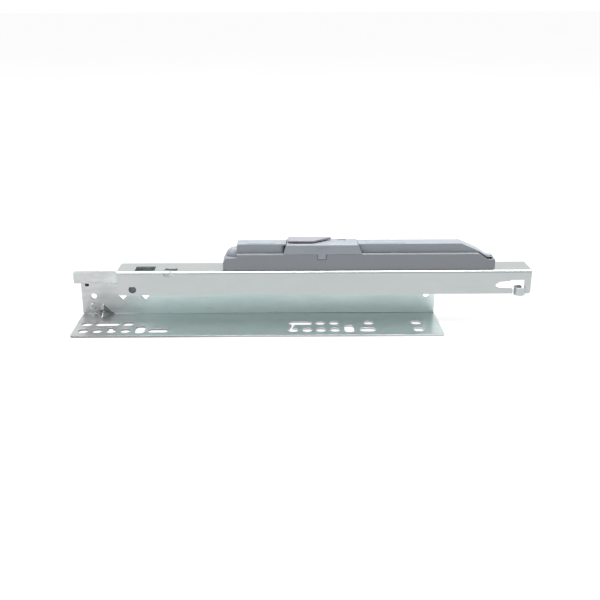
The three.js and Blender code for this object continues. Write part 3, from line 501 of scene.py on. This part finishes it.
class BentPath:
    """The centre line of a bent sheet in (Y, Z), and where points of the flat sheet go.

    lines are the places along the sheet where its bends start, end and are divided.
    """

    def __init__(self, corners, radii):
        self.stretches = []
        self.lines = []
        points = [Vector(c) for c in corners]
        position, s = points[0], 0.0
        for i in range(1, len(points)):
            into = (points[i] - points[i - 1]).normalized()
            turn, tangent, radius = 0.0, 0.0, 0.0
            if i < len(points) - 1:
                radius = radii[i - 1]
                out = (points[i + 1] - points[i]).normalized()
                turn = math.atan2(into.cross(out), into.dot(out))
                tangent = radius * math.tan(abs(turn) / 2)
            end = points[i] - into * tangent
            length = (end - position).length
            self.stretches.append((s, length, position, into, 0.0, 0.0))
            s += length
            if turn:
                arc = radius * abs(turn)
                self.stretches.append((s, arc, end, into, turn, radius))
                self.lines += [s + arc * k / BEND_STEPS for k in range(BEND_STEPS + 1)]
                s += arc
                position = points[i] + out * tangent
        self.length = s

    def place(self, x, s, n):
        """The point at s along the centre line and n to its left."""
        for start, length, position, into, turn, radius in self.stretches:
            if s <= start + length or start == self.stretches[-1][0]:
                break
        normal = Vector((-into.y, into.x))
        if not turn:
            flat = position + into * (s - start) + normal * n
            return Vector((x, flat.x, flat.y))
        side = 1 if turn > 0 else -1
        turned = Matrix.Rotation(side * (s - start) / radius, 2) @ normal
        flat = position + normal * (side * radius) + turned * (n - side * radius)
        return Vector((x, flat.x, flat.y))

    def at(self, stretch, y=None, z=None):
        """Where on the flat sheet a height or depth lies, on one of its straight stretches."""
        start, _, position, into, *_ = self.stretches[2 * stretch]
        return start + ((y - position.x) / into.x if z is None else (z - position.y) / into.y)


def smooth_step(value):
    """0 up to 0 and 1 from 1 on, with a smooth rise between."""
    value = max(0.0, min(1.0, value))
    return value * value * (3 - 2 * value)


def ring_points(u, v, radii):
    """A centre and points on rings around it."""
    return [(u, v)] + [tuple(p) for r in radii for p in circle(u, v, r)]


# ---- Cabinet rail -------------------------------------------------------------------------

# X of the ends, then the sheet's faces in Y and Z. The leg starts a little ahead of the flange.
RAIL_FRONT, RAIL_REAR = -141.0, 141.0
RAIL_SHEET = 1.5
PLATE_Y = 24.0
SHELF_Z = 30.7
LEG_Y = 11.4
LEG_TOP = 40.9
LEG_LEAD = 2.3
FLANGE_EDGE = -24.4
RAIL_EDGE_RADIUS = 0.16

# Screw slots of the flange: distances are from the rail's front end.
PITCH = 32 / 3
SHORT_SLOT = 7.4
SLOT_WIDTH = 7.8
SLOT_RADIUS = 3.2
SLOT_ROW_Y = -13.6
SECOND_ROW_Y = 0.9
OVAL_Y = -11.4
OVAL_WIDTH = 14.6
REAR_SLOT = 264
REAR_SLOT_LENGTH = 8
# A slit that joins two slots, as X and Y, and a side hole: distance, Y, length and width.
RELIEF = [(24, -12.6), (25.7, -12.6), (28.4, -1.9), (26.7, -1.9)]
SIDE_HOLE = (28, -8.6, 4, 3.6)

# Holes of the plate, all in one row: distance and radius.
HOLE_ROW_Z = 16.3
ROUND_HOLES = [(9.6, 2.3), (275.2, 2.5)]
SQUARE_HOLES = [32.6, 50.6]
SQUARE_REACH = 3.4

# Holes of the shelf for the two buffers' pegs and the trigger stud: X and Y.
SHELF_HOLES = [(-134.4, 16.6), (89, 16.8), (114.5, 16.55)]
SHELF_HOLE_RADIUS = 1.8

rail = BentPath(
    [
        (FLANGE_EDGE, RAIL_SHEET / 2),
        (PLATE_Y + RAIL_SHEET / 2, RAIL_SHEET / 2),
        (PLATE_Y + RAIL_SHEET / 2, SHELF_Z + RAIL_SHEET / 2),
        (LEG_Y + RAIL_SHEET / 2, SHELF_Z + RAIL_SHEET / 2),
        (LEG_Y + RAIL_SHEET / 2, LEG_TOP),
    ],
    [1.5, 1.5, 1.0],
)


def soft_max(a, b, blend):
    """The larger of two values, with a rounded change from one to the other."""
    return 0.5 * (a + b + math.sqrt((a - b) ** 2 + blend * blend))


def soft_min(a, b, blend):
    """The smaller of two values, with a rounded change from one to the other."""
    return -soft_max(-a, -b, blend)


DART_RIDGE = RAIL_FRONT + 16.8
DART_TOP = Vector((DART_RIDGE, PLATE_Y + 0.3, 10.0))
DART_TIP = Vector((DART_RIDGE, PLATE_Y - 10.1, 1.2))
DART_SIDES = [Vector((RAIL_FRONT + distance, PLATE_Y + 0.3, 1.2)) for distance in (12.8, 26.2)]
DART_PUSH = Vector((0, -1, 1)).normalized()


def dart_height(point):
    """How far the stiffening dart stands out from the bend at a point of the sheet."""
    heights = []
    for side in DART_SIDES:
        normal = (DART_TIP - DART_TOP).cross(side - DART_TOP)
        heights.append((DART_TOP - point).dot(normal) / DART_PUSH.dot(normal))
    return max(0.0, soft_max(0.0, soft_min(*heights, 0.35), 0.25) - 0.04)


DIMPLE_X = RAIL_FRONT + 8.5
DIMPLE_S = rail.at(1, z=7.7)
DIMPLE_RADIUS = 2.6
DIMPLE_SLOPE = 0.55
DIMPLE_HEIGHT = 0.3


def rail_place(x, s, n):
    """Like the bent path, with the embossed circle and the stiffening dart pressed out."""
    away = math.hypot(x - DIMPLE_X, s - DIMPLE_S)
    n += DIMPLE_HEIGHT * smooth_step((DIMPLE_RADIUS - away) / DIMPLE_SLOPE)
    point = rail.place(x, s, n)
    if RAIL_FRONT + 11 < x < RAIL_FRONT + 28:
        point = point + DART_PUSH * dart_height(rail.place(x, s, RAIL_SHEET / 2))
    return point


def flange_slots():
    """Loops of the flange's screw slots on the flat sheet."""
    loops = {}

    def slot(key, distance, y, length, width):
        loops[key] = rectangle(RAIL_FRONT + distance, y - FLANGE_EDGE, length, width, SLOT_RADIUS)

    # Each group: its first slot, its second row, and its long slot, as distances and lengths.
    groups = [
        (8, [(0, 8.4), (1.5 * PITCH, 19), (3 * PITCH, 8.4)], (57, 15)),
        (168, [(6, 18), (2 * PITCH, SHORT_SLOT), (3 * PITCH, SHORT_SLOT), (59, SHORT_SLOT)], (57, 12)),
    ]
    for g, (first, second_row, long_slot) in enumerate(groups):
        for i in range(4):
            slot((g, "short", i), first + i * PITCH, SLOT_ROW_Y, SHORT_SLOT, SLOT_WIDTH)
        slot((g, "oval"), first + 43, OVAL_Y, SHORT_SLOT, OVAL_WIDTH)
        slot((g, "long"), first + long_slot[0], SLOT_ROW_Y, long_slot[1], SLOT_WIDTH)
        for i, (distance, length) in enumerate(second_row):
            slot((g, "second", i), first + distance, SECOND_ROW_Y, length, SLOT_WIDTH)
    slot("rear", REAR_SLOT, SLOT_ROW_Y, REAR_SLOT_LENGTH, SLOT_WIDTH)
    slot("rear_second", REAR_SLOT, SECOND_ROW_Y, REAR_SLOT_LENGTH, SLOT_WIDTH)
    relief = [Vector((x, y - FLANGE_EDGE)) for x, y in RELIEF]
    distance, y, length, width = SIDE_HOLE
    side_hole = rectangle(RAIL_FRONT + distance, y - FLANGE_EDGE, length, width, 1)
    keyed = united([loops.pop((0, "short", 2)), side_hole])
    linked = united([loops.pop((1, "short", 0)), loops.pop((1, "second", 0)), relief])
    return [*loops.values(), keyed, linked]


def cabinet_rail():
    """The slotted flange, the plate, the shelf and the running leg, bent from one sheet."""
    lead = RAIL_FRONT - LEG_LEAD
    step = rail.at(1, z=SHELF_Z - 0.8)
    end = rail.length
    outline = rounded(
        [(RAIL_FRONT, 0), (RAIL_REAR, 0), (RAIL_REAR, end), (lead, end), (lead, step), (RAIL_FRONT, step)],
        [2.2, 2.2, 0.3, 1.8, 0.9, 0.25],
    )
    holes = flange_slots()
    hole_row = rail.at(1, z=HOLE_ROW_Z)
    for distance, radius in ROUND_HOLES:
        holes.append(circle(RAIL_FRONT + distance, hole_row, radius))
    for distance in SQUARE_HOLES:
        holes.append(rounded(circle(RAIL_FRONT + distance, hole_row, SQUARE_REACH, 4), 0.25, 3))
    for x, y in SHELF_HOLES:
        holes.append(circle(x, rail.at(2, y=y), SHELF_HOLE_RADIUS, 20))
    # Rows of points over the dart, on the flange, the bend and the plate.
    rows = [rail.at(0, y=12.2 + 0.6 * k) for k in range(19)]
    rows += [s for s in rail.lines if rail.at(0, y=20) < s < rail.at(1, z=5)]
    rows += [rail.at(1, z=2.8 + 0.6 * k) for k in range(16)]
    extra = [(RAIL_FRONT + 11.5 + 0.55 * i, s) for i in range(30) for s in rows]
    extra += ring_points(DIMPLE_X, DIMPLE_S, (1.6, 1.95, 2.1, 2.25, 2.4, 2.55, 2.75))
    bm = bmesh.new()
    plate_mesh(bm, outline, holes, RAIL_SHEET, rail_place, rail.lines, extra, RAIL_EDGE_RADIUS)
    return make_piece("cabinet_rail_sheet", bm, ZINC_RAIL, "cabinet_side", ["cabinet_rail"])


# ---- Drawer rail --------------------------------------------------------------------------

# X of the ends, then the sheet's outer faces in Y and Z.
CHANNEL_FRONT, CHANNEL_REAR = -107.9, 210.5
CHANNEL_SHEET = 1.2
FACE_Y = 2.0
CHANNEL_BACK = 26.8
WEB_TOP = 43.3
FRONT_LEG_END = 24.4
BACK_LEG_END = 33.5
CHANNEL_EDGE_RADIUS = 0.14

channel = BentPath(
    [
        (FACE_Y + CHANNEL_SHEET / 2, FRONT_LEG_END),
        (FACE_Y + CHANNEL_SHEET / 2, WEB_TOP - CHANNEL_SHEET / 2),
        (CHANNEL_BACK - CHANNEL_SHEET / 2, WEB_TOP - CHANNEL_SHEET / 2),
        (CHANNEL_BACK - CHANNEL_SHEET / 2, BACK_LEG_END),
    ],
    [1.6, 1.2],
)
DENT_X = -69.3
DENT_DEPTH = 0.6
DENT_BEND = (channel.lines[0] + channel.lines[BEND_STEPS]) / 2

# Openings of the web, from their centres: X, Y, length and width.
LOCK_OPENING = (-86.9, 11, 15.3, 12.2)
SMALL_OPENING = (-66.7, 7.9, 9.8, 5)
SMALL_OPENING_EARS = [(-70.4, 10.2), (-63, 10.2)]
FORK_SLOT = (135.5, 16.55, 55.6, 5.1)
EAR_RADIUS = 1.2
RIVET_HOLES = [(4, 13.15), (173, 13.15)]
RIVET_HOLE_RADIUS = 2.2

# The D-shaped hole of the front leg, X and Z of its centre, and how far above it the flat is.
LOCK_HOLE_X, LOCK_HOLE_Z = -96.4, 29
LOCK_HOLE_RADIUS = 2.9
LOCK_HOLE_FLAT = 2.1

# The rolled hook: the strip's lower and upper ends, its length, and its centre line.
HOOK_LOW, HOOK_HIGH = 23.6, 29.8
HOOK_LENGTH = 21
HOOK_SHEET = 1.16
HOOK_CENTRE = Vector((202.0, FACE_Y + 0.9))
HOOK_RADIUS = 3.8
HOOK_START = -0.15  # angle where the roll starts
HOOK_STRAIGHT = 0.9  # length before it
HOOK_STEPS = 40


def channel_place(x, s, n):
    """Like the bent path, with a shallow dent pressed into the front bend."""
    point = channel.place(x, s, n)
    across = smooth_step((3.4 - abs(x - DENT_X)) / 1.6)
    depth = DENT_DEPTH * across * smooth_step((3.2 - abs(s - DENT_BEND)) / 2.4)
    return point + Vector((0, depth, -depth * 0.8))


def hook_place(x, s, n):
    """Rolls a strip round the hook's centre; x is the height of a point, s its place along the strip."""
    if s < HOOK_STRAIGHT:
        first = HOOK_CENTRE + Vector((math.cos(HOOK_START), math.sin(HOOK_START))) * HOOK_RADIUS
        away = Vector((math.sin(HOOK_START), -math.cos(HOOK_START)))
        flat = first - away * (s - HOOK_STRAIGHT) + Vector((away.y, -away.x)) * n
        return Vector((flat.x, flat.y, x))
    angle = HOOK_START - (s - HOOK_STRAIGHT) / HOOK_RADIUS
    flat = HOOK_CENTRE + Vector((math.cos(angle), math.sin(angle))) * (HOOK_RADIUS + n)
    return Vector((flat.x, flat.y, x))


def on_leg(z):
    """Where a height of the front leg lies on the flat sheet."""
    return channel.at(0, z=z)


def on_web(x, y, *size):
    """A place on the web, as its X and where its depth lies on the flat sheet."""
    return (x, channel.at(1, y=y), *size)


def drawer_rail():
    """The inverted channel with its openings, the rear cut-out and the rolled hook."""
    x0, x1, end = CHANNEL_FRONT, CHANNEL_REAR, channel.length
    outline = rounded(
        [
            (x0, 0),
            (196.8, 0),
            (196.8, on_leg(28.6)),
            (186.6, on_leg(28.8)),
            (184.2, on_leg(30)),
            (182.8, on_leg(31.4)),
            (186.1, on_leg(33.9)),
            (193.8, on_leg(34.6)),
            (195.6, on_leg(35.4)),
            (205.4, on_leg(35.5)),
            (205.4, 0),
            (x1, 0),
            (x1, end),
            (x0 + 1.5, end),
            (x0 + 1.5, channel.lines[-1]),
            (x0, channel.at(1, y=22.4)),
        ],
        [0.8, 0.5, 1.2, 2, 1.4, 0.8, 2, 1.5, 1, 1.2, 0.3, 2, 0.5, 0.5, 4, 4],
    )
    ears = [circle(*on_web(x, y), EAR_RADIUS, 14) for x, y in SMALL_OPENING_EARS]
    holes = [
        rectangle(*on_web(*LOCK_OPENING), 1.2),
        united([rectangle(*on_web(*SMALL_OPENING), 0.8), *ears]),
        rectangle(*on_web(*FORK_SLOT), 0.6),
    ]
    holes += [circle(*on_web(x, y), RIVET_HOLE_RADIUS) for x, y in RIVET_HOLES]
    holes.append(rounded_d(LOCK_HOLE_X, on_leg(LOCK_HOLE_Z), LOCK_HOLE_RADIUS, LOCK_HOLE_FLAT))
    bm = bmesh.new()
    # Rows of points over the dent, in the bend and beside it.
    rows = [s for s in channel.lines if s < channel.at(1, y=8)]
    rows += [DENT_BEND + side * away for side in (-1, 1) for away in (1.7, 2.2, 2.7, 3.3)]
    extra = [(DENT_X + 0.4 * i, s) for i in range(-10, 11) for s in rows]
    plate_mesh(bm, outline, holes, CHANNEL_SHEET, channel_place, channel.lines, extra, CHANNEL_EDGE_RADIUS)
    ends = [(HOOK_LOW, 0), (HOOK_HIGH, 0), (HOOK_HIGH, HOOK_LENGTH), (HOOK_LOW, HOOK_LENGTH)]
    strip = rounded(ends, [0.1, 0.1, 1.2, 1.2])
    rolled = HOOK_LENGTH - HOOK_STRAIGHT
    lines = [HOOK_STRAIGHT + rolled * k / HOOK_STEPS for k in range(HOOK_STEPS)]
    plate_mesh(bm, strip, [], HOOK_SHEET, hook_place, lines, (), CHANNEL_EDGE_RADIUS)
    name = "drawer_rail_channel"
    return make_piece(name, bm, ZINC_CHANNEL, "drawer_side", ["drawer_rail"])


# ---- Springs ------------------------------------------------------------------------------


COIL_ENDS = (-5.6, 101.6)
PIN_XS = (-9.0, 105.0)
SPRING_YS = (13.05, 18.05)
SPRING_Z = 57.6
COIL_RADIUS = 1.84
COIL_PITCH = 0.72
POINTS_PER_TURN = 12
END_LOOP_RADIUS = 1.35
WIRE_RADIUS = 0.33
WIRE_SIDES = 6


def tension_spring(name, node, y):
    """A closed-coil spring with an end loop round each pin."""
    z = SPRING_Z
    x0, x1 = COIL_ENDS
    count = round((x1 - x0) / COIL_PITCH) * POINTS_PER_TURN
    line = []
    for k in range(count + 1):
        angle = 2 * math.pi * k / POINTS_PER_TURN
        x = x0 + (x1 - x0) * k / count
        line.append(Vector((x, y + COIL_RADIUS * math.cos(angle), z + COIL_RADIUS * math.sin(angle))))
    bm = bmesh.new()
    tube(bm, line, WIRE_RADIUS, WIRE_SIDES)
    for pin_x, end_x in zip(PIN_XS, COIL_ENDS):
        away = 1 if end_x > pin_x else -1
        loop = []
        for k in range(25):
            angle = math.radians(20 + 320 * k / 24)
            across = away * END_LOOP_RADIUS * math.cos(angle)
            loop.append(Vector((pin_x + across, y, z + END_LOOP_RADIUS * math.sin(angle))))
        loop.insert(0, Vector((end_x, y, z + 1.2)))
        loop.append(Vector((end_x, y, z - 0.6)))
        tube(bm, loop, WIRE_RADIUS, WIRE_SIDES)
    made = make_piece(name, bm, SPRING_STEEL, None, [node])
    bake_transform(made)


def tube(bm, line, radius, sides):
    """Adds a round tube along a line."""
    rings = []
    for i, point in enumerate(line):
        ahead = line[min(i + 1, len(line) - 1)] - line[max(i - 1, 0)]
        ahead.normalize()
        side = ahead.cross(Vector((1, 0.02, 0.01))).normalized()
        up = side.cross(ahead)
        ring = []
        for k in range(sides):
            angle = 2 * math.pi * k / sides
            spoke = side * (radius * math.cos(angle)) + up * (radius * math.sin(angle))
            ring.append(bm.verts.new(point + spoke))
        rings.append(ring)
    for first, second in zip(rings, rings[1:]):
        for k in range(sides):
            n = (k + 1) % sides
            bm.faces.new((first[k], first[n], second[n], second[k]))
    bm.faces.new(rings[0][::-1])
    bm.faces.new(rings[-1])


# ---- Assembly -----------------------------------------------------------------------------

cabinet_rail()
drawer_rail()
softened("housing_base_tray", "housing_base", GREY_PLASTIC, "drawer_side", 0.25)
for node in ("front_cover", "rear_cover", "nose_cap"):
    softened(node + "_shell", node, COVER_PLASTIC, "drawer_side", 0.3)
softened("centre_clip_saddle", "centre_clip", COVER_PLASTIC, "drawer_side", 0.2)
softened("adjuster_slider_bar", "adjuster_slider", PALE_PLASTIC, "adjuster", 0.25)
for index, y in enumerate(SPRING_YS, 1):
    tension_spring(f"coil_spring_{index}", f"tension_spring_{index}", y)

# The CAD nodes that no piece stands for are seen themselves.
SLOT_MATERIALS = {
    "zinc_rail": ZINC_RAIL,
    "zinc_channel": ZINC_CHANNEL,
    "grey_plastic": GREY_PLASTIC,
    "pale_plastic": PALE_PLASTIC,
    "white_plastic": WHITE_PLASTIC,
    "dark_plastic": DARK_PLASTIC,
    "rubber": RUBBER,
    "bright_steel": BRIGHT_STEEL,
    "spring_steel": SPRING_STEEL,
    "aluminium": ALUMINIUM,
}
for part in frame["record"]["subparts"]:
    node = frame["nodes"][part["node"]]
    node.data.materials.clear()
    node.data.materials.append(SLOT_MATERIALS[part["material_slot"]])


# ---- Floor, light and camera --------------------------------------------------------------


FLOOR_TONES = ((0.16, 0.16, 0.16), (0.15, 0.15, 0.152))
FLOOR_GLOW = 0.84
FLOOR_DROP = 0.0002


def floor():
    """A wide pale floor that glows a little, so that it stays white away from the lights."""
    bm = bmesh.new()
    bmesh.ops.create_grid(bm, x_segments=4, y_segments=4, size=30)
    mesh = bpy.data.meshes.new("floor")
    bm.to_mesh(mesh)
    bm.free()
    made = bpy.data.objects.new("floor", mesh)
    bpy.context.scene.collection.objects.link(made)
    made.location = (0, 0, -FLOOR_DROP)
    material, shader, add, links = new_material("pale_floor", FLOOR_TONES[0], 0, 0.9)
    tone = mapped(add, noise(add, 3), 0.3, 0.7, 0, 1)
    links.new(mixed(add, tone, *FLOOR_TONES), shader.inputs["Base Color"])
    shader.inputs["Specular IOR Level"].default_value = 0
    shader.inputs["Emission Color"].default_value = (1, 1, 1, 1)
    shader.inputs["Emission Strength"].default_value = FLOOR_GLOW
    mesh.materials.append(material)


LIT_PLACE = Vector((0, 0, 0.02))


def area_light(name, location, size, power):
    """A white area light of a size in metres and a power in watts, aimed at the slide."""
    light = bpy.data.lights.new(name, "AREA")
    light.shape = "RECTANGLE"
    light.size, light.size_y = size
    light.energy = power
    made = bpy.data.objects.new(name, light)
    bpy.context.scene.collection.objects.link(made)
    made.location = location
    made.rotation_mode = "QUATERNION"
    made.rotation_quaternion = (LIT_PLACE - Vector(location)).to_track_quat("-Z", "Y")


def world():
    """A pale room: white at the horizon, brightest behind the slide, dimmer in front."""
    made = bpy.data.worlds.new("studio")
    bpy.context.scene.world = made
    made.use_nodes = True
    nodes, links = made.node_tree.nodes, made.node_tree.links
    coordinates = nodes.new("ShaderNodeTexCoord")
    direction = nodes.new("ShaderNodeSeparateXYZ")
    links.new(coordinates.outputs["Generated"], direction.inputs["Vector"])

    def ramp(axis, low, high, to_low, to_high):
        node = nodes.new("ShaderNodeMapRange")
        node.interpolation_type = "SMOOTHSTEP"
        links.new(direction.outputs[axis], node.inputs["Value"])
        node.inputs["From Min"].default_value = low
        node.inputs["From Max"].default_value = high
        for socket, value in (("To Min", to_low), ("To Max", to_high)):
            if isinstance(value, float):
                node.inputs[socket].default_value = value
            else:
                links.new(value, node.inputs[socket])
        return node.outputs["Result"]

    behind = ramp("Y", 0.1, 0.6, 0.6, 1.0)
    above = ramp("Z", 0.5, 0.85, behind, 0.9)
    strength = ramp("Z", 0.015, 0.06, 1.02, above)
    links.new(strength, nodes["Background"].inputs["Strength"])
    nodes["Background"].inputs["Color"].default_value = (1, 1, 1, 1)


CAMERA_PLACE = (0.01407, -0.60544, 0.23535)
CAMERA_ANGLES = (0.38, 19.51, -0.155)  # degrees: turned right, looking down, rolled
CAMERA_SHIFT = 0.0312


def camera():
    """The view from in front and above, with a slight turn and roll."""
    data = bpy.data.cameras.new("camera")
    data.lens = 50
    data.sensor_width = 36
    data.shift_x = CAMERA_SHIFT
    data.clip_start, data.clip_end = 0.01, 100
    made = bpy.data.objects.new("camera", data)
    bpy.context.scene.collection.objects.link(made)
    yaw, pitch, roll = (math.radians(a) for a in CAMERA_ANGLES)
    forward = Vector((math.sin(yaw) * math.cos(pitch), math.cos(yaw) * math.cos(pitch), -math.sin(pitch)))
    level = Vector((math.cos(yaw), -math.sin(yaw), 0))
    upward = level.cross(forward)
    right = level * math.cos(roll) + upward * math.sin(roll)
    up = right.cross(forward)
    place = Matrix((right, up, -forward)).transposed().to_4x4()
    place.translation = CAMERA_PLACE
    made.matrix_world = place
    bpy.context.scene.camera = made


floor()
world()
area_light("key", (-0.95, -0.95, 0.95), (0.7, 0.7), 10)
area_light("top", (0, 0.05, 1.5), (1.4, 0.8), 44)
area_light("side", (1.3, 0.05, 0.95), (0.8, 0.8), 14)
camera()
bpy.context.scene.view_settings.view_transform = "Standard"
